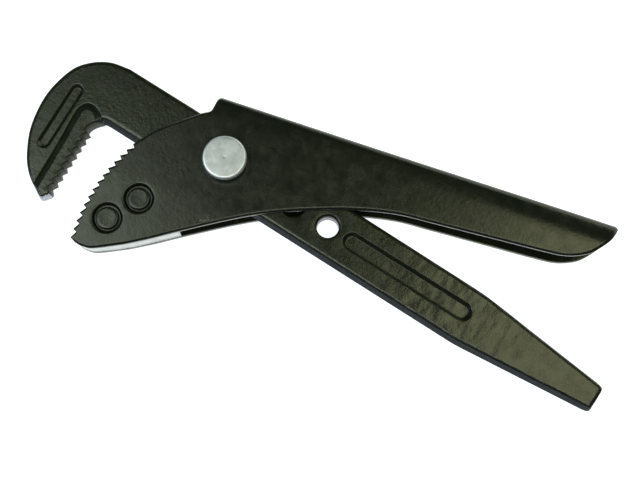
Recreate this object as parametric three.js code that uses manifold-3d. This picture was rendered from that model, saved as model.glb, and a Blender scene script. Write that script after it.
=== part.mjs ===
// Adjustable pipe wrench, lying flat with the pivot screw's head up.
// Millimetres. +X runs along the hook bar from the hook to the tail, +Y points to the side of the
// bar that the handle leans to, +Z points up through the pivot screw. The origin is on the pivot
// axis, in the plane the wrench rests on.

import * as THREE from 'three';
import { mergeVertices } from 'three/addons/utils/BufferGeometryUtils.js';
import Module from 'manifold-3d';

const wasm = await Module();
wasm.setup();

// --- driving dimensions -------------------------------------------------------------------------

const GAP = 0.3; // air left between touching pieces

// levels, measured up from the resting plane
const SHEET = 2.5; // thickness of the handle's steel sheet
const BAR_THICK = 8.5;
const MID = 9.6; // mid-plane of the bar and of the handle
const BAR_HALF = BAR_THICK / 2;
const CHEEK_HALF = BAR_HALF + GAP + SHEET; // outside of a cheek at the pivot, from the mid-plane

// hook bar
const BAR_HALF_WIDTH = 10.6;
const TAPER_START_X = 106.5;
const TAIL_END_X = 158.6;
const HOLE_PITCH = 14.9;
const HOLE_COUNT = 4;
const HOLE_R = 4.3;
const COUNTERSINK = 0.7;
const TAIL_SLOT = { x0: 55.3, x1: 102.5, r: 3.3, depth: 1.6 };
const HOOK_SLOT = { x: -62.5, y0: -6.9, y1: -29.7, r: 2.4, depth: 1.2 };
const HOOK_TOOTH_X = -50.6; // line through the tips of the hook's teeth
const HOOK_TOOTH_Y = -18.2; // first tip, next to the throat
const HOOK_TOOTH_COUNT = 8;
const TOOTH_PITCH = 3.2;
const HOOK_TOOTH_DEPTH = 1.3;
const HOOK_STEEP_RUN = 0.9; // length along the jaw of the flank that faces the throat
const PAD_STEP = 0.8; // depth the toothed pad is set back below the hook's faces

// handle, in its own frame: +X along the spine, pivot at the origin
const HANDLE_ANGLE = 13.7; // degrees the spine is turned from the bar at rest
const SPINE_Y = 22.6;
const SPINE_START_X = -11.5;
const HANDLE_END_X = 143.2;
const SPINE_RADIUS = 3.2;
const GRIP_HALF = 9.55; // outside of a cheek at the grip's end, from the mid-plane
const NOSE_HALF = 5.7; // the same at the nose of the jaw
const CREASE_Y = -20; // below this line the cheeks lean in towards the jaw block
const NOSE_Y = -47;
const JAW_ARC = { x: 24.3, y: -39.7, r: 68.5, first: 149.5, pitch: 2.7 };
const JAW_TOOTH_COUNT = 14;
const JAW_TOOTH_DEPTH = 1.5;
const JAW_STEEP_SHARE = 0.2; // share of the pitch taken by the flank that faces the nose
const BLOCK_FIRST_TOOTH = 7; // the jaw block carries the teeth from this one to the nose

// rivets, in the handle's frame
const RIVETS = [
  { name: 'jaw_rivet_rear', x: -25.4, y: -23.6 },
  { name: 'jaw_rivet_front', x: -33.8, y: -34.1 },
];
const RIVET_R = 4.0;
const RIVET_SINK_R = 5.5;
const RIVET_SINK = 0.9;

// pivot
const SHANK_R = 4.0;
const THREAD_R = 2.9;
const HEAD_R = 8.0;
const HEAD_THICK = 3.3;
const KNURL_COUNT = 48;
const KNURL_DEPTH = 0.25;
const WASHER = { inner: 4.3, outer: 7.0, thick: 1.8, split: 1.0 };
const BUSH_R = 5.7;
const BUSH_FLANGE_R = 7.8;
const BUSH_BORE_R = THREAD_R + GAP;

const CHEEK_TOP = MID + CHEEK_HALF;
const CHEEK_BOTTOM = MID - CHEEK_HALF;
const WASHER_Z = CHEEK_TOP + GAP;
const HEAD_Z = WASHER_Z + WASHER.thick + GAP;

// --- helpers ------------------------------------------------------------------------------------

const rad = THREE.MathUtils.degToRad;

function toSolid(geometry) {
  const bare = geometry.clone();
  bare.deleteAttribute('normal');
  bare.deleteAttribute('uv');
  const welded = mergeVertices(bare, 1e-4);
  return new wasm.Manifold(new wasm.Mesh({
    numProp: 3,
    vertProperties: new Float32Array(welded.attributes.position.array),
    triVerts: new Uint32Array(welded.index.array),
  }));
}

function toGeometry(solid) {
  const mesh = solid.getMesh();
  const geometry = new THREE.BufferGeometry();
  geometry.setAttribute('position', new THREE.BufferAttribute(new Float32Array(mesh.vertProperties), 3));
  geometry.setIndex(new THREE.BufferAttribute(new Uint32Array(mesh.triVerts), 1));
  geometry.computeVertexNormals();
  return geometry;
}

// A prism standing on z0, made from an outline of Vector2 points.
function prism(points, z0, z1) {
  const geometry = new THREE.ExtrudeGeometry(new THREE.Shape(points), {
    depth: z1 - z0,
    bevelEnabled: false,
  });
  geometry.translate(0, 0, z0);
  return toSolid(geometry);
}

// A turned piece about +Z from [radius, z] pairs running from the axis to the axis.
function turned(profile, segments, x = 0, y = 0) {
  const points = profile.map(([r, z]) => new THREE.Vector2(r, z));
  const geometry = new THREE.LatheGeometry(points, segments);
  geometry.rotateX(Math.PI / 2);
  geometry.translate(x, y, 0);
  return toSolid(geometry);
}

function rod(r, z0, z1, x = 0, y = 0, segments = 24) {
  return turned([[0, z0], [r, z0], [r, z1], [0, z1]], segments, x, y);
}

// A capsule-shaped outline with its end centres at a and b.
function capsule(a, b, r, steps = 6) {
  const turn = Math.atan2(b.y - a.y, b.x - a.x);
  const points = [];
  for (const [centre, start] of [[b, turn - Math.PI / 2], [a, turn + Math.PI / 2]]) {
    for (let i = 0; i <= steps; i += 1) {
      const t = start + (Math.PI * i) / steps;
      points.push(new THREE.Vector2(centre.x + r * Math.cos(t), centre.y + r * Math.sin(t)));
    }
  }
  return points;
}

function vectors(pairs) {
  return pairs.map(([x, y]) => new THREE.Vector2(x, y));
}

function smooth(pairs, divisions) {
  return new THREE.SplineCurve(vectors(pairs)).getPoints(divisions);
}

// --- hook bar -----------------------------------------------------------------------------------

function hookOutline() {
  const w = BAR_HALF_WIDTH;
  const outer = smooth([
    [-50, w], [-56, 9.2], [-63, 6.2], [-68.3, 0.6], [-70.9, -7], [-71, -15],
    [-69.4, -24.5], [-66, -34], [-60.6, -42], [-55, -46.5], [-50.8, -48],
  ], 26);
  const points = [...outer, new THREE.Vector2(-49.6, -46.6), new THREE.Vector2(HOOK_TOOTH_X, -44)];
  for (let i = HOOK_TOOTH_COUNT - 1; i >= 0; i -= 1) {
    const tip = HOOK_TOOTH_Y - i * TOOTH_PITCH;
    const root = tip - (TOOTH_PITCH - HOOK_STEEP_RUN);
    points.push(new THREE.Vector2(HOOK_TOOTH_X - HOOK_TOOTH_DEPTH, root));
    points.push(new THREE.Vector2(HOOK_TOOTH_X, tip));
  }
  const throat = smooth([[-50.9, -16.2], [-49.2, -13.2], [-46.9, -11.2], [-44, -w]], 6);
  const tail = vectors([
    [TAPER_START_X, -w], [156.8, -6.9], [158.2, -6.2], [TAIL_END_X, -5],
    [TAIL_END_X, 2.6], [157.6, 3.9], [TAPER_START_X, w],
  ]);
  points.push(...throat, ...tail);
  return points.reverse();
}

function makeHookBar() {
  let solid = prism(hookOutline(), MID - BAR_HALF, MID + BAR_HALF);
  for (let i = 0; i < HOLE_COUNT; i += 1) {
    const top = HOLE_R + COUNTERSINK;
    solid = solid.subtract(turned([
      [0, MID - BAR_HALF - 1], [top + 1, MID - BAR_HALF - 1], [HOLE_R, MID - BAR_HALF + COUNTERSINK],
      [HOLE_R, MID + BAR_HALF - COUNTERSINK], [top + 1, MID + BAR_HALF + 1], [0, MID + BAR_HALF + 1],
    ], 24, i * HOLE_PITCH, 0));
  }
  const tailSlot = capsule({ x: TAIL_SLOT.x0, y: 0 }, { x: TAIL_SLOT.x1, y: 0 }, TAIL_SLOT.r);
  const hookSlot = capsule(
    { x: HOOK_SLOT.x, y: HOOK_SLOT.y1 },
    { x: HOOK_SLOT.x, y: HOOK_SLOT.y0 },
    HOOK_SLOT.r,
  );
  const pad = [
    ...smooth([[-55.4, -60], [-56, -40], [-57.4, -16], [-55.6, -9.6], [-51, -8.8], [-48, -12]], 14),
    ...vectors([[-40, -12], [-40, -60]]),
  ].reverse();
  for (const side of [-1, 1]) {
    const face = MID + side * BAR_HALF;
    for (const [outline, depth] of [
      [tailSlot, TAIL_SLOT.depth], [hookSlot, HOOK_SLOT.depth], [pad, PAD_STEP],
    ]) {
      const floor = face - side * depth;
      const z = [floor, face + side].sort((a, b) => a - b);
      solid = solid.subtract(prism(outline, z[0], z[1]));
    }
  }
  return solid;
}

// --- handle -------------------------------------------------------------------------------------

function jawTeeth(first) {
  const points = [];
  for (let i = first; i < JAW_TOOTH_COUNT; i += 1) {
    const tip = rad(JAW_ARC.first + i * JAW_ARC.pitch);
    const root = tip + rad(JAW_ARC.pitch * JAW_STEEP_SHARE);
    for (const [t, r] of [[tip, JAW_ARC.r], [root, JAW_ARC.r - JAW_TOOTH_DEPTH]]) {
      if (i < JAW_TOOTH_COUNT - 1 || r === JAW_ARC.r) {
        points.push(new THREE.Vector2(JAW_ARC.x + r * Math.cos(t), JAW_ARC.y + r * Math.sin(t)));
      }
    }
  }
  return points;
}

function noseCurve() {
  return smooth([[-42.2, -45.9], [-38.6, -46.7], [-34.6, -46], [-30, -44], [-24.7, -41.2]], 8);
}

function handleOutline() {
  const upper = smooth([
    [SPINE_START_X, 17], [-12.6, 15.6], [-19, 10.9], [-24.5, 6.7], [-29.8, 1.8], [-34, -3.6],
  ], 10);
  const belly = smooth([
    [-16.3, -36.1], [-2.3, -27], [9.8, -19.4], [20, -13.9], [33.6, -8], [45.9, -3.5],
    [56, -0.4], [66.9, 1.7], [80, 2.6],
  ], 16);
  const grip = smooth([
    [120, 5.3], [128, 6.4], [133.5, 8.2], [137.6, 11.2], [140.8, 15.4], [HANDLE_END_X, SPINE_Y],
  ], 10);
  return [
    new THREE.Vector2(SPINE_START_X + 0.8, SPINE_Y),
    new THREE.Vector2(SPINE_START_X, SPINE_Y - 1.2),
    ...upper, ...jawTeeth(0), ...noseCurve(), ...belly, ...grip,
  ];
}

// Half the handle's outside width at the station x, at the height y.
function halfWidth(x, y) {
  const flare = THREE.MathUtils.smoothstep(x, 35, HANDLE_END_X) * (GRIP_HALF - CHEEK_HALF);
  const lean = THREE.MathUtils.clamp((CREASE_Y - y) / (CREASE_Y - NOSE_Y), 0, 1.5);
  return CHEEK_HALF + flare - lean * (CHEEK_HALF - NOSE_HALF);
}

// One cross-section of the folded channel as [y, z] points, `inset` inside its outer surface.
function channelSection(x, inset) {
  const top = SPINE_Y - inset;
  const r = SPINE_RADIUS - inset * 0.8;
  const w = halfWidth(x, top) - inset;
  const side = [];
  for (let i = 0; i <= 3; i += 1) {
    const t = (Math.PI / 2) * (i / 3);
    side.push([top - r + r * Math.cos(t), w - r + r * Math.sin(t)]);
  }
  side.push([CREASE_Y, halfWidth(x, CREASE_Y) - inset]);
  side.push([CREASE_Y - 40, halfWidth(x, CREASE_Y - 40) - inset]);
  return [...side, ...side.map(([y, z]) => [y, -z]).reverse()];
}

// A solid lofted through the sections, closed with a fan at each end.
function channelLoft(stations, inset) {
  const sections = stations.map((x) => channelSection(x, inset));
  const count = sections[0].length;
  const positions = [];
  const index = [];
  sections.forEach((section, s) => {
    section.forEach(([y, z]) => positions.push(stations[s], y, MID + z));
  });
  for (let s = 0; s < sections.length - 1; s += 1) {
    for (let i = 0; i < count; i += 1) {
      const a = s * count + i;
      const b = s * count + ((i + 1) % count);
      index.push(a, b, a + count, b, b + count, a + count);
    }
  }
  const last = (sections.length - 1) * count;
  for (let i = 1; i < count - 1; i += 1) {
    index.push(0, i + 1, i, last, last + i, last + i + 1);
  }
  const geometry = new THREE.BufferGeometry();
  geometry.setAttribute('position', new THREE.Float32BufferAttribute(positions, 3));
  geometry.setIndex(index);
  return toSolid(geometry);
}

function inHandleFrame(solid) {
  return solid.rotate([0, 0, HANDLE_ANGLE]);
}

function makeHandle() {
  const stations = [-60, 35, 60, 90, 118, 150];
  const outer = channelLoft(stations, 0);
  const inner = channelLoft(stations, SHEET);
  let solid = prism(handleOutline(), -5, 2 * MID + 5).intersect(outer).subtract(inner);
  solid = solid.subtract(rod(SHANK_R + GAP, MID, CHEEK_TOP + 1));
  solid = solid.subtract(rod(BUSH_R + GAP, CHEEK_BOTTOM - 1, MID, 0, 0, 32));
  for (const rivet of RIVETS) {
    const h = halfWidth(rivet.x, rivet.y);
    solid = solid.subtract(rod(RIVET_R + GAP, -1, 2 * MID + 1, rivet.x, rivet.y));
    for (const side of [-1, 1]) {
      const deep = MID + side * (h - RIVET_SINK);
      const out = MID + side * (h + 1);
      const wall = [[0, deep], [RIVET_SINK_R - 0.3, deep], [RIVET_SINK_R, out], [0, out]];
      solid = solid.subtract(turned(side > 0 ? wall : wall.reverse(), 24, rivet.x, rivet.y));
    }
  }
  return inHandleFrame(solid);
}

function makeJawBlock() {
  const outline = [
    ...jawTeeth(BLOCK_FIRST_TOOTH), ...noseCurve(),
    ...vectors([[-16.3, -36.1], [-7.4, -30.3], [-11, -21], [-16, -17.6], [-38, -21.6]]),
  ];
  let solid = prism(outline, 0, 2 * MID).intersect(channelLoft([-60, 35], SHEET + GAP));
  for (const rivet of RIVETS) {
    solid = solid.subtract(rod(RIVET_R + GAP, -1, 2 * MID + 1, rivet.x, rivet.y));
  }
  return inHandleFrame(solid);
}

function makeRivet(rivet) {
  const h = halfWidth(rivet.x, rivet.y);
  return inHandleFrame(turned([
    [0, MID - h], [RIVET_R - 0.4, MID - h], [RIVET_R, MID - h + 0.4],
    [RIVET_R, MID + h - 0.4], [RIVET_R - 0.4, MID + h], [0, MID + h],
  ], 24, rivet.x, rivet.y));
}

// --- pivot --------------------------------------------------------------------------------------

function makeScrew() {
  const shoulder = MID - BAR_HALF;
  const body = turned([
    [0, 0], [THREAD_R - 0.5, 0], [THREAD_R, 0.5], [THREAD_R, shoulder], [SHANK_R, shoulder],
    [SHANK_R, HEAD_Z + 0.5], [0, HEAD_Z + 0.5],
  ], 24);
  const rim = [];
  for (let i = 0; i < 2 * KNURL_COUNT; i += 1) {
    const t = (Math.PI * i) / KNURL_COUNT;
    const r = HEAD_R - (i % 2) * KNURL_DEPTH;
    rim.push(new THREE.Vector2(r * Math.cos(t), r * Math.sin(t)));
  }
  const top = HEAD_Z + HEAD_THICK;
  const chamfered = turned([
    [0, HEAD_Z], [HEAD_R + 0.2, HEAD_Z], [HEAD_R + 0.2, top - 0.9],
    [HEAD_R - 0.7, top], [0, top],
  ], 48);
  return prism(rim, HEAD_Z, top).intersect(chamfered).add(body);
}

function makeWasher() {
  const z1 = WASHER_Z + WASHER.thick;
  const ring = rod(WASHER.outer, WASHER_Z, z1, 0, 0, 36)
    .subtract(rod(WASHER.inner, WASHER_Z - 1, z1 + 1, 0, 0, 36));
  const half = WASHER.split / 2;
  const slit = prism(vectors([[2, -half - 0.6], [9, -half + 0.6], [9, half + 0.6], [2, half - 0.6]]),
    WASHER_Z - 1, z1 + 1);
  return ring.subtract(slit);
}

function makeBush() {
  const flange = CHEEK_BOTTOM - GAP;
  const inside = CHEEK_BOTTOM + SHEET;
  return turned([
    [0, 0.2], [BUSH_FLANGE_R - 0.4, 0.2], [BUSH_FLANGE_R, 0.6], [BUSH_FLANGE_R, flange],
    [BUSH_R, flange], [BUSH_R, inside], [0, inside],
  ], 32).subtract(rod(BUSH_BORE_R, -1, MID));
}

// --- assembly -----------------------------------------------------------------------------------

const PAINT = { color: 0x30332b, metalness: 0.0, roughness: 0.42 };
const BRIGHT = { color: 0xc3c7c0, metalness: 1.0, roughness: 0.35 };

function addPiece(group, name, solid, look) {
  const mesh = new THREE.Mesh(toGeometry(solid), new THREE.MeshStandardMaterial(look));
  mesh.name = name;
  group.add(mesh);
}

const wrench = new THREE.Group();
wrench.name = 'pipe_wrench';
addPiece(wrench, 'hook_bar', makeHookBar(), PAINT);
addPiece(wrench, 'handle_channel', makeHandle(), PAINT);
addPiece(wrench, 'jaw_block', makeJawBlock(), BRIGHT);
for (const rivet of RIVETS) {
  addPiece(wrench, rivet.name, makeRivet(rivet), PAINT);
}
addPiece(wrench, 'pivot_screw', makeScrew(), BRIGHT);
addPiece(wrench, 'spring_washer', makeWasher(), BRIGHT);
addPiece(wrench, 'threaded_bush', makeBush(), BRIGHT);

export default wrench;
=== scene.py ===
# Looks of the pipe wrench. Lengths in this file are millimetres until mesh_object() turns them into
# metres. The bar's frame has +X from hook to tail and +Z up through the pivot screw.
import math

import bmesh
import bpy
import numpy as np
from mathutils import Matrix, Vector
from mathutils.geometry import delaunay_2d_cdt


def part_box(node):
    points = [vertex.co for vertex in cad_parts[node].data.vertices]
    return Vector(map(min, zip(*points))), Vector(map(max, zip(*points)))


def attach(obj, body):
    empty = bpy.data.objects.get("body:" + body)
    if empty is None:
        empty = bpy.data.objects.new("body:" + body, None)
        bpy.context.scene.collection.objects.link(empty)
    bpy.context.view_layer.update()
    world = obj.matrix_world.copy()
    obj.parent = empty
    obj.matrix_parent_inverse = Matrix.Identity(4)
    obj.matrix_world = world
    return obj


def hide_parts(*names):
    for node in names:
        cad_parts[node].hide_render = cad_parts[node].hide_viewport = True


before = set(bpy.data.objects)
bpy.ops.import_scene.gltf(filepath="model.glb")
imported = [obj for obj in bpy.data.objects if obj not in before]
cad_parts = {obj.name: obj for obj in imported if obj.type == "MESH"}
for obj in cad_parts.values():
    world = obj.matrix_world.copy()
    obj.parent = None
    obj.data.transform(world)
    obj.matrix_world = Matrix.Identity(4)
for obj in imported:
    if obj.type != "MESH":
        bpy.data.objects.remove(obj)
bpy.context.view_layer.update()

bar_low, bar_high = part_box("hook_bar")
MID = 500 * (bar_low.z + bar_high.z)
BAR_HALF = 500 * (bar_high.z - bar_low.z)
SHEET = 2.5
CHEEK = BAR_HALF + 0.3 + SHEET

# ---------------------------------------------------------------- plane geometry


def arr(pairs):
    return np.array(pairs, float)


def catmull(pairs, step=0.6):
    """A smooth curve through the points, cut into pieces of about step."""
    p = arr(pairs)
    ext = np.vstack([2 * p[0] - p[1], p, 2 * p[-1] - p[-2]])
    out = []
    for i in range(len(p) - 1):
        a, b, c, d = ext[i : i + 4]
        n = max(2, int(np.ceil(np.linalg.norm(c - b) / step)))
        t = np.arange(n)[:, None] / n
        out.append(
            0.5 * (2 * b + (c - a) * t + (2 * a - 5 * b + 4 * c - d) * t**2 + (3 * b - a - 3 * c + d) * t**3)
        )
    return np.vstack(out + [p[-1:]])


def straight(a, b, step=1.4):
    a, b = arr(a), arr(b)
    n = max(1, int(np.ceil(np.linalg.norm(b - a) / step)))
    return a + (b - a) * np.arange(n + 1)[:, None] / n


def arc(centre, r, t0, t1, n):
    t = np.linspace(t0, t1, n)
    return np.c_[centre[0] + r * np.cos(t), centre[1] + r * np.sin(t)]


def chain(*parts):
    """Joins polylines and drops doubled points."""
    p = np.vstack(parts)
    keep = np.r_[True, np.linalg.norm(np.diff(p, axis=0), axis=1) > 1e-4]
    return p[keep]


def distance(p, line):
    """Distance from each point to a polyline."""
    best = np.full(len(p), 1e9)
    for a, b in zip(line[:-1], line[1:]):
        ab = b - a
        t = np.clip((p - a) @ ab / max(ab @ ab, 1e-12), 0, 1)
        best = np.minimum(best, np.hypot(*(p - a - t[:, None] * ab).T))
    return best


def signed(p, line):
    """Distance to a polyline, positive on its left."""
    best, side = np.full(len(p), 1e9), np.ones(len(p))
    for a, b in zip(line[:-1], line[1:]):
        ab = b - a
        t = np.clip((p - a) @ ab / max(ab @ ab, 1e-12), 0, 1)
        d = p - a - t[:, None] * ab
        r = np.hypot(*d.T)
        cross = ab[0] * (p - a)[:, 1] - ab[1] * (p - a)[:, 0]
        nearer = r < best - 1e-9
        side = np.where(nearer, np.sign(cross), side)
        best = np.where(nearer, r, best)
    return best * side


def inside(p, poly):
    hit = np.zeros(len(p), bool)
    x, y = p.T
    for a, b in zip(poly, np.roll(poly, -1, axis=0)):
        if a[1] == b[1]:
            continue
        crosses = (a[1] > y) != (b[1] > y)
        hit ^= crosses & (x < a[0] + (y - a[1]) / (b[1] - a[1]) * (b[0] - a[0]))
    return hit


def tooth_line(points):
    return chain(*[straight(a, b, 0.5) for a, b in zip(points[:-1], points[1:])])


def beside(line, d):
    """The polyline moved d to its left, by its points' normals."""
    t = np.gradient(line, axis=0)
    t /= np.linalg.norm(t, axis=1)[:, None]
    return line + d * np.c_[-t[:, 1], t[:, 0]]


def smooth(t):
    t = np.clip(t, 0, 1)
    return t * t * (3 - 2 * t)


def ramp(t):
    """A slope from 0 to 1 with fillets at its top and foot."""
    return 0.6 * smooth(t) + 0.4 * np.clip((t - 0.5) * 1.25 + 0.5, 0, 1)


def round_drop(d, r):
    """How far a rounded edge of radius r has dropped at the distance d inside the edge."""
    d = np.clip(d, 0, r)
    return r - np.sqrt(np.maximum(r * r - (r - d) ** 2, 0))


def rolled(d, run, rise):
    """Drop of a sheared sheet's rolled edge, which steepens towards the edge."""
    return rise * (1 - np.clip(d / run, 0, 1)) ** 2


def plan_mesh(rims, holes, lines, spacing):
    """Triangles over the region inside the rims' loop and outside the holes.

    rims: [(polyline, insets)], in order round the region with the inside on the left; each inset adds
    a row of points at that distance inside the polyline. holes: [(centre, radius, outsets, count)].
    lines: other polylines that the triangles must follow.
    """
    loop = chain(*[r for r, _ in rims])
    if np.linalg.norm(loop[0] - loop[-1]) < 1e-4:
        loop = loop[:-1]
    points, edges = [], []

    def add(row, closed=False, keep=None):
        start = len(points)
        if keep is None:
            keep = np.ones(len(row), bool)
        number = np.cumsum(keep) - 1 + start
        points.extend(row[keep].tolist())
        for i in range(len(row) - (0 if closed else 1)):
            j = (i + 1) % len(row)
            if keep[i] and keep[j]:
                edges.append((int(number[i]), int(number[j])))

    add(loop, closed=True)
    whole = np.vstack([loop, loop[:1]])
    for line, insets in rims:
        for d in insets:
            row = beside(line, d)
            good = inside(row, loop) & (distance(row, whole) > d * 0.97)
            add(row, keep=good)
    for centre, r, outsets, count in holes:
        for d in [0, *outsets]:
            add(arc(centre, r + d, 0, 2 * math.pi * (1 - 1 / count), count), closed=True)
    for line in lines:
        good = inside(line, loop) & (distance(line, whole) > 0.05)
        add(line, keep=good)
    fixed = arr(points)
    low, high = loop.min(0), loop.max(0)
    gx, gy = np.meshgrid(np.arange(low[0], high[0], spacing), np.arange(low[1], high[1], spacing * 0.87))
    gx = gx + (np.arange(len(gx)) % 2)[:, None] * spacing / 2
    grid = np.c_[gx.ravel(), gy.ravel()]
    grid = grid[inside(grid, loop)]
    for centre, r, outsets, _ in holes:
        grid = grid[np.hypot(*(grid - centre).T) > r + max(outsets, default=0) + 0.4 * spacing]
    near = np.full(len(grid), 1e9)
    for i in range(0, len(fixed), 400):
        block = fixed[i : i + 400]
        near = np.minimum(near, np.linalg.norm(grid[:, None] - block[None], axis=2).min(1))
    points.extend(grid[near > 0.55 * spacing].tolist())
    verts, _, faces, _, _, _ = delaunay_2d_cdt([Vector(p) for p in points], edges, [], 0, 1e-5)
    p = arr([tuple(v) for v in verts])
    f = np.array([tuple(t) for t in faces])
    middle = p[f].mean(1)
    good = inside(middle, loop)
    for centre, r, _, count in holes:
        flat = r * math.cos(math.pi / count)
        good &= np.hypot(*(middle - centre).T) > flat
    f = f[good]
    a, b, c = p[f[:, 0]], p[f[:, 1]], p[f[:, 2]]
    area = (b - a)[:, 0] * (c - a)[:, 1] - (b - a)[:, 1] * (c - a)[:, 0]
    f = np.where((area < 0)[:, None], f[:, ::-1], f)[np.abs(area) > 1e-9]
    used = np.unique(f)
    back = np.full(len(p), -1)
    back[used] = np.arange(len(used))
    return p[used], back[f]


def border(f):
    """The directed edges that only one triangle has."""
    e = np.vstack([f[:, [0, 1]], f[:, [1, 2]], f[:, [2, 0]]])
    have = {tuple(x) for x in e.tolist()}
    return arr([x for x in have if (x[1], x[0]) not in have]).astype(int)


def closed_shell(f, top, bottom):
    """Joins a plan's upper and lower points into one closed skin."""
    n = len(top)
    e = border(f)
    faces = [*map(tuple, f.tolist()), *[tuple(t[::-1] + n) for t in f]]
    faces += [(int(b), int(a), int(a + n), int(b + n)) for a, b in e]
    return np.vstack([top, bottom]), faces


# ---------------------------------------------------------------- Blender objects


def mesh_object(name, verts, faces, material, sharp=50, turn=0.0, weld=1e-3, crease=None, walls=()):
    """Makes the object from millimetre points; turn is degrees about the pivot, crease a sharp level.

    walls: [(material, low corner, high corner)], for the upright faces between two corners of the plan.
    """
    mesh = bpy.data.meshes.new(name)
    rotation = Matrix.Rotation(math.radians(turn), 3, "Z")
    points = np.asarray(verts) @ np.array(rotation).T / 1000
    mesh.from_pydata(points.tolist(), [], [tuple(map(int, face)) for face in faces])

    bm = bmesh.new()
    bm.from_mesh(mesh)
    bmesh.ops.remove_doubles(bm, verts=bm.verts, dist=weld / 1000)
    bmesh.ops.dissolve_degenerate(bm, edges=bm.edges, dist=1e-7)
    bmesh.ops.recalc_face_normals(bm, faces=bm.faces)
    bm.to_mesh(mesh)
    bm.free()
    for polygon in mesh.polygons:
        polygon.use_smooth = True
    mesh.set_sharp_from_angle(angle=math.radians(sharp))
    if crease is not None:
        for edge in mesh.edges:
            if all(abs(1000 * mesh.vertices[i].co.z - crease) < 1e-3 for i in edge.vertices):
                edge.use_edge_sharp = True
    mesh.materials.append(material)
    for wall, low, high in walls:
        mesh.materials.append(wall)
        for polygon in mesh.polygons:
            x, y = 1000 * polygon.center.x, 1000 * polygon.center.y
            if low[0] < x < high[0] and low[1] < y < high[1] and abs(polygon.normal.z) < 0.36:
                polygon.material_index = len(mesh.materials) - 1
    obj = bpy.data.objects.new(name, mesh)
    bpy.context.scene.collection.objects.link(obj)
    return obj


def grid_faces(rows, columns, closed_columns=True):
    """Quads of a grid of rows x columns points, the columns running round."""
    faces = []
    for i in range(rows - 1):
        for j in range(columns if closed_columns else columns - 1):
            k = (j + 1) % columns
            faces.append((i * columns + j, i * columns + k, (i + 1) * columns + k, (i + 1) * columns + j))
    return faces


def turned(profile, columns, radius=None):
    """A turned skin from [radius, z] rows; radius(r, z, angles) may shape each ring."""
    t = np.arange(columns) * 2 * math.pi / columns
    verts = []
    for r, z in profile:
        ring = np.full(columns, float(r)) if radius is None else radius(r, z, t)
        verts.append(np.c_[ring * np.cos(t), ring * np.sin(t), np.full(columns, float(z))])
    faces = grid_faces(len(profile), columns)
    verts = np.vstack(verts)
    first, last = len(verts), len(verts) + 1
    verts = np.vstack([verts, [[0, 0, profile[0][1]], [0, 0, profile[-1][1]]]])
    end = (len(profile) - 1) * columns
    for j in range(columns):
        k = (j + 1) % columns
        faces.append((first, k, j))
        faces.append((last, end + j, end + k))
    return verts, faces


def edge_round(points, r, n=3):
    """Rounds the inner corners of a [radius, z] profile by r; the first and last points stay."""
    out = [points[0]]
    for a, b, c in zip(points[:-2], points[1:-1], points[2:]):
        a, b, c = arr(a), arr(b), arr(c)
        u, v = a - b, c - b
        k = min(r, 0.45 * np.linalg.norm(u), 0.45 * np.linalg.norm(v))
        p, q = b + u / np.linalg.norm(u) * k, b + v / np.linalg.norm(v) * k
        for i in range(n + 1):
            s = i / n
            out.append(tuple((1 - s) ** 2 * p + 2 * s * (1 - s) * b + s * s * q))
    return out + [points[-1]]


# ---------------------------------------------------------------- materials


def node(tree, kind, **values):
    n = tree.nodes.new(kind)
    for key, value in values.items():
        if key in n.inputs:
            n.inputs[key].default_value = value
        else:
            setattr(n, key, value)
    return n


def link(tree, a, b):
    tree.links.new(a, b)


def noise(tree, scale, detail=3.0, roughness=0.55, vector=None):
    n = node(tree, "ShaderNodeTexNoise")
    n.inputs["Scale"].default_value = scale
    n.inputs["Detail"].default_value = detail
    n.inputs["Roughness"].default_value = roughness
    link(tree, vector, n.inputs["Vector"])
    return n.outputs["Fac"]


def spread(tree, value, low, high, out_low=0.0, out_high=1.0):
    n = node(tree, "ShaderNodeMapRange")
    for key, x in zip(("From Min", "From Max", "To Min", "To Max"), (low, high, out_low, out_high)):
        n.inputs[key].default_value = x
    link(tree, value, n.inputs["Value"])
    return n.outputs["Result"]


def mixed(tree, factor, a, b):
    n = node(tree, "ShaderNodeMix", data_type="RGBA")
    for socket, x in ((n.inputs["A"], a), (n.inputs["B"], b)):
        if isinstance(x, tuple):
            socket.default_value = (*x, 1)
        else:
            link(tree, x, socket)
    link(tree, factor, n.inputs["Factor"])
    return n.outputs["Result"]


def bumped(tree, height, strength, distance, under=None):
    n = node(tree, "ShaderNodeBump")
    n.inputs["Strength"].default_value = strength
    n.inputs["Distance"].default_value = distance
    link(tree, height, n.inputs["Height"])
    if under is not None:
        link(tree, under, n.inputs["Normal"])
    return n.outputs["Normal"]


def new_material(name):
    m = bpy.data.materials.new(name)
    m.use_nodes = True
    tree = m.node_tree
    place = node(tree, "ShaderNodeTexCoord").outputs["Object"]
    return m, tree, tree.nodes["Principled BSDF"], place


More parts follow.
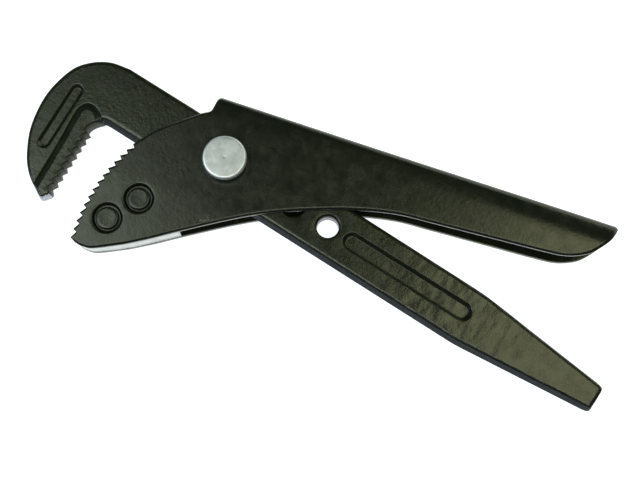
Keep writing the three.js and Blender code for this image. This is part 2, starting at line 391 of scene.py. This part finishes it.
def enamel(name, dark, light, peel, gloss, shine=0.5, lumps=0.0):
    """Black enamel: mottled colour, orange peel, soft unevenness of the metal below, worn edges.

    lumps: height of the forging's cross ripples, in metres, about 106 mm along the piece.
    """
    m, tree, shader, place = new_material(name)
    blotch = spread(tree, noise(tree, 260, 4, 0.65, place), 0.3, 0.72)
    colour = mixed(tree, blotch, dark, light)
    edge = node(tree, "ShaderNodeNewGeometry").outputs["Pointiness"]
    grain = noise(tree, 1500, 2, 0.6, place)
    worn = node(tree, "ShaderNodeMath", operation="MULTIPLY")
    link(tree, spread(tree, edge, 0.56, 0.68), worn.inputs[0])
    link(tree, spread(tree, grain, 0.45, 0.7), worn.inputs[1])
    colour = mixed(tree, worn.outputs[0], colour, (0.16, 0.165, 0.14))
    link(tree, colour, shader.inputs["Base Color"])
    dull = spread(tree, noise(tree, 220, 3, 0.6, place), 0.3, 0.7, gloss, gloss + 0.12)
    link(tree, dull, shader.inputs["Roughness"])
    shader.inputs["Specular IOR Level"].default_value = shine
    wave = bumped(tree, noise(tree, 150, 0, 0.4, place), 0.6, 0.00008 * peel)
    if lumps:
        stretch = node(tree, "ShaderNodeMapping")
        stretch.inputs["Scale"].default_value = (1, 0.45, 1)
        link(tree, place, stretch.inputs["Vector"])
        along = node(tree, "ShaderNodeSeparateXYZ")
        link(tree, place, along.inputs[0])
        ripple = node(tree, "ShaderNodeMath", operation="MULTIPLY")
        link(tree, noise(tree, 230, 1, 0.5, stretch.outputs["Vector"]), ripple.inputs[0])
        past = node(tree, "ShaderNodeMath", operation="SUBTRACT")
        link(tree, along.outputs["X"], past.inputs[0])
        past.inputs[1].default_value = 0.106
        far = node(tree, "ShaderNodeMath", operation="ABSOLUTE")
        link(tree, past.outputs[0], far.inputs[0])
        link(tree, spread(tree, far.outputs[0], 0.012, 0.04, 1, 0), ripple.inputs[1])
        wave = bumped(tree, ripple.outputs[0], 0.8, lumps, wave)
    peeled = bumped(tree, noise(tree, 700, 0, 0.5, place), 0.6, 0.00006 * peel, wave)
    link(tree, bumped(tree, grain, 0.5, 0.00012 * peel, peeled), shader.inputs["Normal"])
    return m


def zinc(name):
    """Turned, zinc-plated steel with rings about the pivot axis and a brighter rim, a painted highlight."""
    m, tree, shader, place = new_material(name)
    stain = spread(tree, noise(tree, 420, 5, 0.65, place), 0.3, 0.7)
    colour = mixed(tree, stain, (0.43, 0.45, 0.54), (0.66, 0.69, 0.82))
    flat = node(tree, "ShaderNodeMapping")
    flat.inputs["Scale"].default_value = (1, 1, 0)
    link(tree, place, flat.inputs["Vector"])
    radius = node(tree, "ShaderNodeVectorMath", operation="LENGTH")
    link(tree, flat.outputs["Vector"], radius.inputs[0])
    # Painted highlight: a paler colour beyond about 7.2 to 7.5 mm from the axis, on the head's chamfer and
    # knurled rim and on the bush's flange rim.
    rim_highlight = spread(tree, radius.outputs["Value"], 0.0072, 0.0075)
    link(tree, mixed(tree, rim_highlight, colour, (0.84, 0.86, 0.98)), shader.inputs["Base Color"])
    shader.inputs["Metallic"].default_value = 1.0
    dull = spread(tree, noise(tree, 500, 3, 0.6, place), 0.3, 0.7, 0.38, 0.52)
    link(tree, dull, shader.inputs["Roughness"])
    rings = node(tree, "ShaderNodeTexWave", wave_type="RINGS", rings_direction="Z")
    rings.inputs["Scale"].default_value = 900
    rings.inputs["Distortion"].default_value = 1.5
    link(tree, place, rings.inputs["Vector"])
    cut = bumped(tree, rings.outputs["Fac"], 0.2, 0.00004)
    link(tree, bumped(tree, noise(tree, 1400, 2, 0.5, place), 0.4, 0.00006, cut), shader.inputs["Normal"])
    return m


def ground_steel(name, dark, light):
    """Bare hardened steel, ground lengthways, with a few darker stains."""
    m, tree, shader, place = new_material(name)
    stretch = node(tree, "ShaderNodeMapping")
    stretch.inputs["Scale"].default_value = (0.12, 1, 1)
    link(tree, place, stretch.inputs["Vector"])
    lines = noise(tree, 2600, 3, 0.6, stretch.outputs["Vector"])
    stain = spread(tree, noise(tree, 180, 4, 0.6, place), 0.3, 0.72)
    link(tree, mixed(tree, stain, dark, light), shader.inputs["Base Color"])
    shader.inputs["Metallic"].default_value = 1.0
    link(tree, spread(tree, lines, 0.3, 0.7, 0.24, 0.4), shader.inputs["Roughness"])
    link(tree, bumped(tree, lines, 0.3, 0.00003), shader.inputs["Normal"])
    return m


BAR_PAINT = enamel("bar_enamel", (0.0055, 0.0078, 0.0048), (0.011, 0.0145, 0.008), 1.0, 0.19, lumps=0.0005)
HANDLE_PAINT = enamel("handle_enamel", (0.0045, 0.0068, 0.0045), (0.0085, 0.0112, 0.0068), 0.65, 0.19)
# Lighter, less shiny copy of the enamel for the flanks of the hook's teeth: painted light, standing in for
# the mid-olive look of the lit flanks.
TOOTH_FLANK_PAINTED_LIGHT = enamel("tooth_flank_painted_light", (0.020, 0.022, 0.015), (0.036, 0.038, 0.026), 1.0, 0.42, 0.16)
# Bluish, dull copy of the enamel for the bar's lower side walls: a painted reflection of the pale floor,
# darker and bluer than the same paint elsewhere.
LOWER_SIDE_PAINTED_REFLECTION = enamel("lower_side_painted_reflection", (0.006, 0.009, 0.016), (0.011, 0.016, 0.028), 0.6, 0.42, 0.06)
ZINC = zinc("zinc_steel")
JAW_STEEL = ground_steel("jaw_steel", (0.36, 0.37, 0.38), (0.60, 0.61, 0.63))
# Pale lilac metal for the end walls of the hook's nose: a painted pale reflection.
NOSE_PAINTED_REFLECTION = ground_steel("nose_painted_reflection", (0.22, 0.23, 0.27), (0.38, 0.40, 0.47))

# ---------------------------------------------------------------- hook bar

UPPER_DRAFT = 0.7
LOWER_DRAFT = 1.15
EDGE_RUN = 1.6
EDGE_RISE = 0.6
HOLE_PITCH = 14.9
HOLE_COUNT = 4
HOLE_R = 4.1
COUNTERSINK = 0.75
COUNTERSINK_RUN = 0.8
LOWER_Y = -11.35
TAIL_X = 159.7
TOOTH_COUNT = 8
TOOTH_PITCH = 3.23
FIRST_TOOTH = (-50.6, -18.2)
TOOTH_LEAN = 0.14
TOOTH_ROOT = (-1.15, -1.95)
# Recesses in the faces: the two end centres, the radius and the depth.
RECESSES = [((55.3, 0), (102.4, 0), 3.0, 1.5), ((-61.9, -29.7), (-63.1, -6.9), 2.0, 1.2)]
FILLET = 0.8
# The pad's level below the face, the depth of the valley along its step, and where each is reached.
PAD_DEPTH = 0.33
VALLEY_DEPTH = 0.8
PAD_FROM = -2.0
VALLEY_AT = -0.35
STEP_TOP = 0.55


def hook_teeth():
    """Points of the hook's teeth, from the nose to the throat."""
    teeth = []
    for k in range(TOOTH_COUNT - 1, -1, -1):
        tip = (FIRST_TOOTH[0] + TOOTH_LEAN * k, FIRST_TOOTH[1] - TOOTH_PITCH * k)
        teeth += [(tip[0] + TOOTH_ROOT[0], tip[1] + TOOTH_ROOT[1]), tip]
    return teeth


def cut_outline():
    """The cut edge of the hook's mouth: the nose's end, the teeth and the throat."""
    teeth = hook_teeth()
    corner = (-49.1, -44.6)
    throat = [teeth[-1], (-51.95, -17.3), (-51.3, -14.8), (-49.7, -12.7), (-47.6, -11.7)]
    return chain(
        straight((-49.3, -46.8), corner, 0.5),
        straight(corner, teeth[0], 0.5),
        tooth_line(teeth),
        catmull(throat, 0.5),
    )


def lower_outline():
    """The forging's lower side, from the throat to the tail's end."""
    return chain(
        catmull([(-47.6, -11.7), (-46.6, -11.45), (-45, LOWER_Y)], 0.5),
        straight((-45, LOWER_Y), (104.6, LOWER_Y)),
        catmull([(104.6, LOWER_Y), (106.4, -11.3), (108.5, -11.15)], 0.7),
        straight((108.5, -11.15), (156.6, -6.55)),
        catmull([(156.6, -6.55), (158.4, -6.2), (159.4, -5.5), (TAIL_X, -4.3)], 0.4),
    )


def upper_outline():
    """The tail's end, the upper side and the hook's back, round to the nose."""
    back = [
        (-51.2, 11.6), (-59.2, 9.8), (-65.8, 5.4), (-70.5, -1.4), (-72.7, -14), (-70.5, -27.2),
        (-65.4, -37.3), (-60, -43.4), (-53.8, -47.2), (-51.4, -48.4), (-49.9, -48.2), (-49.3, -46.8),
    ]
    return chain(
        straight((TAIL_X, -4.3), (TAIL_X, 2.2), 0.8),
        catmull([(TAIL_X, 2.2), (159.25, 3.7), (157.6, 4.6)], 0.4),
        straight((157.6, 4.6), (113.5, 9.55)),
        catmull([(113.5, 9.55), (108.1, 10.1), (102.8, 10.35), (97, 10.45)], 0.7),
        straight((97, 10.45), (-23, 11.6)),
        straight((-23, 11.6), (-51.2, 11.6)),
        catmull(back, 0.8),
    )


def recess_rings():
    """Lines along both fillets of each recess, for the mesh to follow."""
    rings = []
    for a, b, r, _ in RECESSES:
        turn = math.atan2(b[1] - a[1], b[0] - a[0])
        n = 14 if r > 2.5 else 10
        for d in np.linspace(-1, 1, 11):
            right = arc(b, r + d, turn - math.pi / 2, turn + math.pi / 2, n)
            left = arc(a, r + d, turn + math.pi / 2, turn + 1.5 * math.pi, n)
            rings.append(chain(right, straight(right[-1], left[0]), left, straight(left[-1], right[0])))
    return rings


def hook_bar():
    sharp, lower, upper = cut_outline(), lower_outline(), upper_outline()
    step = catmull([
        (-54.9, -49), (-55.6, -43.8), (-56.9, -28.3), (-58.3, -15.5), (-58.3, -11.6), (-56.2, -8.9),
        (-52.2, -8.9), (-49.2, -11), (-48.4, -13),
    ], 0.7)
    shifts = (-2.25, PAD_FROM, -1.6, -1.1, -0.6, VALLEY_AT, -0.1, 0.2, STEP_TOP, 0.8)
    step_rows = [beside(step, d) for d in shifts]
    rims = [(sharp, (0.04, 0.13, 0.28, 0.45, 0.6))]
    for line, run in ((lower, LOWER_DRAFT), (upper, UPPER_DRAFT)):
        roll = [run + EDGE_RUN * u for u in (0, 0.15, 0.29, 0.42, 0.54, 0.66, 0.77, 0.88, 1, 1.15)]
        rims.append((line, [0.08, 0.5 * run, run - 0.08, *roll]))
    holes = [(arr((i * HOLE_PITCH, 0)), HOLE_R, (0.15, 0.4, 0.75, 0.95), 40) for i in range(HOLE_COUNT)]
    p, f = plan_mesh(rims, holes, recess_rings() + step_rows, 2.2)

    face = np.full(len(p), BAR_HALF)
    for a, b, r, depth in RECESSES:
        d = distance(p, arr([a, b])) - r
        face -= depth * ramp((FILLET - d) / (2 * FILLET))
    valley = np.interp(signed(p, step), [PAD_FROM, VALLEY_AT, STEP_TOP], [PAD_DEPTH, VALLEY_DEPTH, 0])
    face -= valley * smooth((-45.5 - p[:, 0]) / 2.4)
    x, y = p.T
    uneven = np.sin(x / 3.6 + 1.3 * np.sin(y / 2.9)) * np.cos(y / 3.1 - x / 8)
    face += 0.1 * smooth((x - 55) / 25) * uneven
    to_lower, to_upper = distance(p, lower), distance(p, upper)
    edge = np.minimum(to_lower, to_upper)
    draft = UPPER_DRAFT + (LOWER_DRAFT - UPPER_DRAFT) * smooth((to_upper - to_lower + 2) / 4)
    height = (face - EDGE_RISE) * np.clip(edge / draft, 0, 1) + EDGE_RISE
    height -= rolled(edge - draft, EDGE_RUN, EDGE_RISE)
    height -= rolled(distance(p, sharp), 0.6, 0.5) * (height > 0.6)
    for centre, r, _, _ in holes:
        d = np.hypot(*(p - centre).T) - r
        height -= COUNTERSINK * np.clip((COUNTERSINK_RUN - d) / COUNTERSINK_RUN, 0, 1) ** 1.15
    height = np.maximum(height, 0)
    top = np.c_[p, MID + height]
    bottom = np.c_[p, MID - height]
    return closed_shell(f, top, bottom)


# ---------------------------------------------------------------- handle

TURN = 13.7
TOP = 23.4
BEND_R = 3.4
BEND_Y = TOP - BEND_R
BEND_V = BEND_Y + BEND_R * math.pi / 2
SEAM_V = BEND_V + 4.5
SPINE_X = -10.9
GRIP_X = 143
ROLL = 1.15
RIVETS = {"jaw_rivet_rear": (-25.4, -23.6), "jaw_rivet_front": (-33.8, -34.1)}


def half_width(x, y):
    """Half the outside width of the folded handle, away from the rounded back."""
    flare = smooth((x - 35) / (GRIP_X - 35))
    lean = np.clip((-16 - y) / 31, 0, 1.2) ** 1.3
    curl = np.clip((14 - y) / 12, 0, 1.2) ** 2
    return CHEEK + flare * (2.55 - 0.45 * curl) - 0.95 * lean


def skin(x, v):
    """Outer surface of the front half in the handle's frame, from the flat pattern."""
    hump = 0.008 + 0.022 * smooth((x - 35) / (GRIP_X - 35))
    start = TOP - 9.5
    join = BEND_Y
    for _ in range(4):
        tilt = np.arctan(2 * hump * (join - start))
        join = TOP - BEND_R * (1 - np.sin(tilt))
    y = np.where(v < 10, v, 10 + (v - 10) * (join - 10) / (BEND_Y - 10))
    y = np.minimum(y, join)
    z = half_width(x, y) - hump * np.maximum(y - start, 0) ** 2
    centre = half_width(x, join) - hump * (join - start) ** 2 - BEND_R * np.cos(tilt)
    t = tilt + (math.pi / 2 - tilt) * np.clip((v - BEND_Y) / (BEND_V - BEND_Y), 0, 1)
    across = np.clip((v - BEND_V) / (SEAM_V - BEND_V), 0, 1)
    bent = v > BEND_Y
    y = np.where(bent, TOP - BEND_R + BEND_R * np.sin(t), y)
    z = np.where(bent, (centre + BEND_R * np.cos(t)) * (1 - across), z)
    return np.stack([x, y, z], 1)


def skin_normal(x, v):
    e = 0.02
    flat = np.minimum(v, SEAM_V - 2 * e)
    along = skin(x + e, flat) - skin(x - e, flat)
    up = skin(x, flat + e) - skin(x, flat - e)
    n = np.cross(along, up)
    n /= np.linalg.norm(n, axis=1)[:, None]
    n[v > SEAM_V - 0.01] = (0, 1, 0)
    return n


JAW_CENTRE = (24.3, -39.7)
JAW_TIP_R = 68.5
JAW_ROOT_R = 67.0
JAW_FIRST = 149.5
JAW_PITCH = 2.7
JAW_TEETH = 14
RING_WALL = 0.8
RING_DEPTH = 1.2


def on_jaw(radius, degrees):
    t = math.radians(degrees)
    return (JAW_CENTRE[0] + radius * math.cos(t), JAW_CENTRE[1] + radius * math.sin(t))


def jaw_teeth(first):
    """Points of the moving jaw's teeth, from the one numbered first to the nose."""
    points = []
    for i in range(first, JAW_TEETH):
        tip = JAW_FIRST + JAW_PITCH * i
        points.append(on_jaw(JAW_TIP_R, tip))
        if i < JAW_TEETH - 1:
            points.append(on_jaw(JAW_ROOT_R, tip + 0.2 * JAW_PITCH))
    return points


NOSE = [(-41.2, -46.5), (-38, -46.8), (-34.4, -46), (-24.7, -41.2)]
BELLY = [
    (-24.7, -41.2), (-16.3, -36.1), (-7, -30), (9.8, -19.5), (22, -12.9), (36, -7), (51, -1.8), (66, 1.6),
    (80, 2.7),
]
GRIP = [
    (119, 5.3), (127, 6.1), (133, 8.1), (138, 11.4), (142.3, 16.6), (143.9, 21.2), (143.7, BEND_V),
    (143.5, SEAM_V),
]
SHOULDER = [
    (SPINE_X, SEAM_V), (SPINE_X, BEND_V), (-11.5, 17.6), (-12.4, 15.8), (-15.4, 13.9), (-24.5, 6.7),
    (-29.6, 1.9),
]


def handle_half(holes):
    """One cheek with its half of the spine, as outer and inner skins over the sheet's flat pattern."""
    teeth = jaw_teeth(0)
    tooth_edge = tooth_line(teeth)
    shoulder = catmull([*SHOULDER, teeth[0]], 0.8)
    below = chain(
        catmull([teeth[-1], *NOSE], 0.6),
        catmull(BELLY, 1.2),
        straight(BELLY[-1], GRIP[0]),
        catmull(GRIP, 0.8),
    )
    seam = straight(GRIP[-1], SHOULDER[0], 2.0)
    insets = (0.04, 0.2, 0.4, 0.6, 0.8, 1.0, ROLL, ROLL + 0.2)
    tooth_insets = (0.04, 0.15, 0.32, 0.5, 0.68, 0.85, 1.05)
    bend_rows = (BEND_Y - 0.8, *np.linspace(BEND_Y, BEND_V, 8), BEND_V + 0.8)
    across = [straight((-8, v), (140, v), 2.0) for v in bend_rows]
    rims = [(shoulder, insets), (tooth_edge, tooth_insets), (below, insets), (seam, ())]
    p, f = plan_mesh(rims, holes, across, 2.2)
    x, v = p.T
    outer, normal = skin(x, v), skin_normal(x, v)
    rim = np.minimum(distance(p, shoulder), distance(p, below))
    to_teeth = distance(p, tooth_edge)
    drop = np.maximum(rolled(rim, ROLL, 0.6), rolled(to_teeth, 0.85, 0.42))
    inner_drop = np.maximum(round_drop(rim, 0.15), round_drop(to_teeth, 0.15))
    sunk = np.zeros(len(p))
    for centre, r, outsets, _ in holes:
        if len(outsets) > 3:
            d = np.hypot(*(p - centre).T) - r
            sunk += RING_DEPTH * smooth((0.4 + RING_WALL - d) / RING_WALL)
            sunk += rolled(np.maximum(d - 1.05, 0), 0.8, 0.34)
    front = outer - normal * (drop + sunk)[:, None]
    rear = outer - normal * (SHEET - inner_drop)[:, None]
    n = len(p)
    faces = [*map(tuple, f.tolist()), *[tuple(t[::-1] + n) for t in f]]
    for a, b in border(f):
        if not (v[a] > SEAM_V - 0.01 and v[b] > SEAM_V - 0.01):
            faces.append((int(b), int(a), int(a + n), int(b + n)))
    return np.vstack([front, rear]), faces


def handle_channel():
    ring = (0.3, 0.45, 0.6, 0.75, 0.9, 1.05, 1.15, 1.3, 1.45, 1.6, 1.75, 1.95)
    rivets = [(arr(c), 4.35, ring, 48) for c in RIVETS.values()]
    zero = arr((0, 0))
    front, front_faces = handle_half([(zero, 4.4, (0.3,), 40), *rivets])
    rear, rear_faces = handle_half([(zero, 6.0, (0.3,), 48), *rivets])
    front[:, 2] += MID
    rear[:, 2] = MID - rear[:, 2]
    verts = np.vstack([front, rear])
    faces = front_faces + [tuple(i + len(front) for i in face[::-1]) for face in rear_faces]
    return verts, faces


def jaw_block():
    """The block between the cheeks, a hair inside their lower edge, with the lower teeth cut in it."""
    teeth = jaw_teeth(7)
    back_corner = (-7.6, -30.2)
    under = catmull([teeth[-1], *[(x, y + 0.2) for x, y in (*NOSE, BELLY[1])], back_corner], 0.7)
    corners = [back_corner, (-11, -21), (-16, -17.6), (-38, -21.6), teeth[0]]
    plain = chain(under, *[straight(a, b) for a, b in zip(corners[:-1], corners[1:])])
    holes = [(arr(c), 4.4, (), 32) for c in RIVETS.values()]
    p, f = plan_mesh([(tooth_line(teeth), (0.06, 0.2)), (plain, (0.05, 0.15))], holes, [], 2.2)
    w = half_width(p[:, 0], p[:, 1]) - SHEET - 0.12
    w = w - round_drop(distance(p, plain), 0.15)
    return closed_shell(f, np.c_[p, MID + w], np.c_[p, MID - w])


def rivet(centre):
    """A flush rivet: a dished, hammered end in each cheek."""
    h = float(half_width(*arr(centre))) - 0.05
    end = [
        (1.2, -0.06), (2.6, -0.03), (3.2, 0.0), (3.5, -0.03), (3.75, -0.09), (3.95, -0.19), (4.12, -0.36),
        (4.22, -0.6), (4.25, -0.9), (4.25, -2.1),
    ]
    rows = [(r, MID - h - dz) for r, dz in end] + [(r, MID + h + dz) for r, dz in end[::-1]]
    verts, faces = turned(rows, 64)
    return verts + [*centre, 0], faces


# ---------------------------------------------------------------- pivot

screw_low, screw_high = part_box("pivot_screw")
washer_low, washer_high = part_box("spring_washer")
bush_low, bush_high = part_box("threaded_bush")
HEAD_R = 510 * (screw_high.x - screw_low.x)
HEAD_TOP = 1000 * screw_high.z
HEAD_UNDER = 1000 * washer_high.z + 0.3


def pivot_screw():
    shoulder = MID - BAR_HALF
    top = HEAD_TOP
    thread = np.arange(1000 * screw_low.z + 0.4, shoulder - 0.5, 0.09)
    rows = [(2.3, 1000 * screw_low.z)] + [(2.85, z) for z in thread]
    rows += [(2.45, shoulder - 0.35), (2.5, shoulder), (3.7, shoulder), (4.0, shoulder + 0.3)]
    rows += [(4.0, HEAD_UNDER)]
    rows += [(6.6, HEAD_UNDER), (7.4, HEAD_UNDER + 0.05), (7.75, HEAD_UNDER + 0.3)]
    rows += [(HEAD_R, z) for z in np.linspace(HEAD_UNDER + 0.5, top - 0.62, 6)]
    chamfer = [(7.98, 0.38), (7.8, 0.18), (7.6, 0.07), (7.35, 0.02), (7.0, 0)]
    centre_mark = [(5, 0.01), (3, 0.02), (1.2, 0.02), (0.4, 0.02), (0.25, 0.05), (0.1, 0.08)]
    rows += [(r, top - drop) for r, drop in chamfer + centre_mark]

    def shape(r, z, t):
        ring = np.full(len(t), float(r))
        if r == 2.85:
            phase = (z / 1.0 - t / (2 * math.pi)) % 1.0
            fade = min(1, (z - thread[0]) / 0.6, (thread[-1] - z) / 0.5)
            ring -= 0.5 * np.abs(2 * phase - 1) * max(fade, 0.15)
        if HEAD_UNDER + 0.2 < z < top - 0.1 and r > 7.3:
            depth = 0.32 if r == HEAD_R else 0.14
            ring -= depth * (0.5 + 0.5 * np.cos(72 * t)) ** 0.7
        return ring

    return turned(rows, 432, shape)


def spring_washer():
    low, high = 1000 * washer_low.z, 1000 * washer_high.z
    r0, r1 = 4.3, 7.0
    c = 0.15
    section = [(r0 + c, 0), (r1 - c, 0), (r1, c), (r1, 1 - c), (r1 - c, 1), (r0 + c, 1), (r0, 1 - c), (r0, c)]
    n = 90
    span = 2 * math.pi - 0.17
    verts = []
    for i in range(n):
        t = 0.085 + span * i / (n - 1)
        rise = 0.12 * (i / (n - 1) - 0.5)
        for r, k in section:
            z = low + 0.15 + k * (high - low - 0.3) + rise
            verts.append((r * math.cos(t), r * math.sin(t), z))
    faces = grid_faces(n, len(section))
    faces.append(tuple(range(len(section)))[::-1])
    faces.append(tuple(range((n - 1) * len(section), n * len(section))))
    return arr(verts), faces


def threaded_bush():
    low, high = 1000 * bush_low.z, 1000 * bush_high.z
    flange = MID - CHEEK - 0.15
    loop = edge_round([
        (3.3, low + 0.5), (3.8, low), (7.8, low), (7.8, flange), (5.85, flange), (5.85, high), (3.5, high),
        (3.3, high - 0.3), (3.3, low + 0.5),
    ], 0.3)
    t = np.arange(96) * 2 * math.pi / 96
    loop = loop[:-1]
    verts = np.vstack([np.c_[r * np.cos(t), r * np.sin(t), np.full(96, z)] for r, z in loop])
    rows = len(loop)
    faces = grid_faces(rows, 96)
    for j in range(96):
        k = (j + 1) % 96
        faces.append(((rows - 1) * 96 + j, (rows - 1) * 96 + k, k, j))
    return verts, faces


def place(name, shape, material, body, slot, turn=0.0, sharp=50, crease=None, walls=()):
    obj = mesh_object(name, *shape, material, sharp=sharp, turn=turn, crease=crease, walls=walls)
    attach(obj, body)
    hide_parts(name.removeprefix("look_"))


# Wall materials: the hook's cut teeth in a lighter, duller enamel, painted light; the end of the nose in pale
# lilac metal, a painted reflection; the bar's lower side in a bluish, dull enamel, a painted reflection of
# the floor.
HOOK_WALLS = [
    (LOWER_SIDE_PAINTED_REFLECTION, (-48, -12), (160, -4.4)),
    (TOOTH_FLANK_PAINTED_LIGHT, (-53.6, -45.2), (-46.6, -11.6)),
    (NOSE_PAINTED_REFLECTION, (-66, -49), (-53.6, -38)),
    (NOSE_PAINTED_REFLECTION, (-53.7, -49), (-48.5, -45.2)),
]
place("look_hook_bar", hook_bar(), BAR_PAINT, "bar", "bar_paint", crease=MID, walls=HOOK_WALLS)
place("look_handle_channel", handle_channel(), HANDLE_PAINT, "handle", "handle_paint", TURN)
place("look_jaw_block", jaw_block(), JAW_STEEL, "handle", "bright_steel", TURN)
for rivet_name, rivet_at in RIVETS.items():
    place("look_" + rivet_name, rivet(rivet_at), HANDLE_PAINT, "handle", "handle_paint", TURN)
place("look_pivot_screw", pivot_screw(), ZINC, "screw", "bright_steel", sharp=40)
place("look_spring_washer", spring_washer(), ZINC, "washer", "bright_steel", sharp=40)
place("look_threaded_bush", threaded_bush(), ZINC, "handle", "bright_steel", sharp=40)

# ---------------------------------------------------------------- floor, light, camera


def paper(name):
    """White paper lit from underneath, so the shadows stay faint."""
    m, tree, shader, place = new_material(name)
    shade = spread(tree, noise(tree, 30, 4, 0.5, place), 0.3, 0.7)
    link(tree, mixed(tree, shade, (0.55, 0.55, 0.55), (0.58, 0.58, 0.58)), shader.inputs["Base Color"])
    shader.inputs["Roughness"].default_value = 0.8
    shader.inputs["Emission Color"].default_value = (0.92, 0.96, 1, 1)
    shader.inputs["Emission Strength"].default_value = 0.98
    return m


floor = mesh_object(
    "floor",
    arr([(-3000, -3000, 0), (3000, -3000, 0), (3000, 3000, 0), (-3000, 3000, 0)]),
    [(0, 1, 2, 3)],
    paper("floor_paper"),
)
floor.location.z = -0.0006

# The camera hangs over the wrench, tipped towards the bar's lower side.
CAMERA_AT = Vector((0.08191, -0.06323, 0.37335))
RIGHT = Vector((0.84165, 0.54002, 0.0))
DOWN = Vector((0.53053, -0.82686, -0.18666))
AHEAD = Vector((-0.10080, 0.15710, -0.98242))

camera_data = bpy.data.cameras.new("camera")
camera_data.lens = 56.25
camera = bpy.data.objects.new("camera", camera_data)
bpy.context.scene.collection.objects.link(camera)
basis = Matrix((RIGHT.normalized(), -DOWN.normalized(), -AHEAD.normalized())).transposed()
camera.matrix_world = Matrix.Translation(CAMERA_AT) @ basis.to_4x4()
camera_data.clip_start = 0.01
bpy.context.scene.camera = camera


def softbox(name, at, towards, size, watts, colour=(1, 1, 1)):
    data = bpy.data.lights.new(name, "AREA")
    data.shape = "RECTANGLE"
    data.size, data.size_y = size
    data.energy = watts
    data.color = colour
    obj = bpy.data.objects.new(name, data)
    obj.location = at
    obj.rotation_euler = (Vector(towards) - Vector(at)).to_track_quat("-Z", "Y").to_euler()
    bpy.context.scene.collection.objects.link(obj)


softbox("left_light", (-0.41, -0.31, 1.06), (0, 0, 0), (0.78, 0.62), 4.6, (0.90, 1.0, 0.80))
softbox("right_light", (0.39, 0.10, 1.2), (0.03, 0, 0), (1.0, 0.5), 4.6, (0.96, 0.99, 0.57))
softbox("front_light", (0.10, -0.50, 1.12), (0.03, 0, 0), (1.2, 0.2), 2.8, (0.96, 1.0, 0.88))
softbox("corner_light", (-0.78, -0.78, 0.70), (0, 0, 0), (0.5, 0.2), 2.6, (0.66, 0.84, 1))
softbox("back_light", (0.35, 1.25, 0.36), (0, 0, 0), (1.7, 0.35), 4.2, (0.90, 1.0, 0.72))

world = bpy.data.worlds.new("studio")
bpy.context.scene.world = world
world.use_nodes = True
world.node_tree.nodes["Background"].inputs["Color"].default_value = (0.9, 1.0, 0.95, 1)
world.node_tree.nodes["Background"].inputs["Strength"].default_value = 0.04
bpy.context.scene.view_settings.view_transform = "Standard"
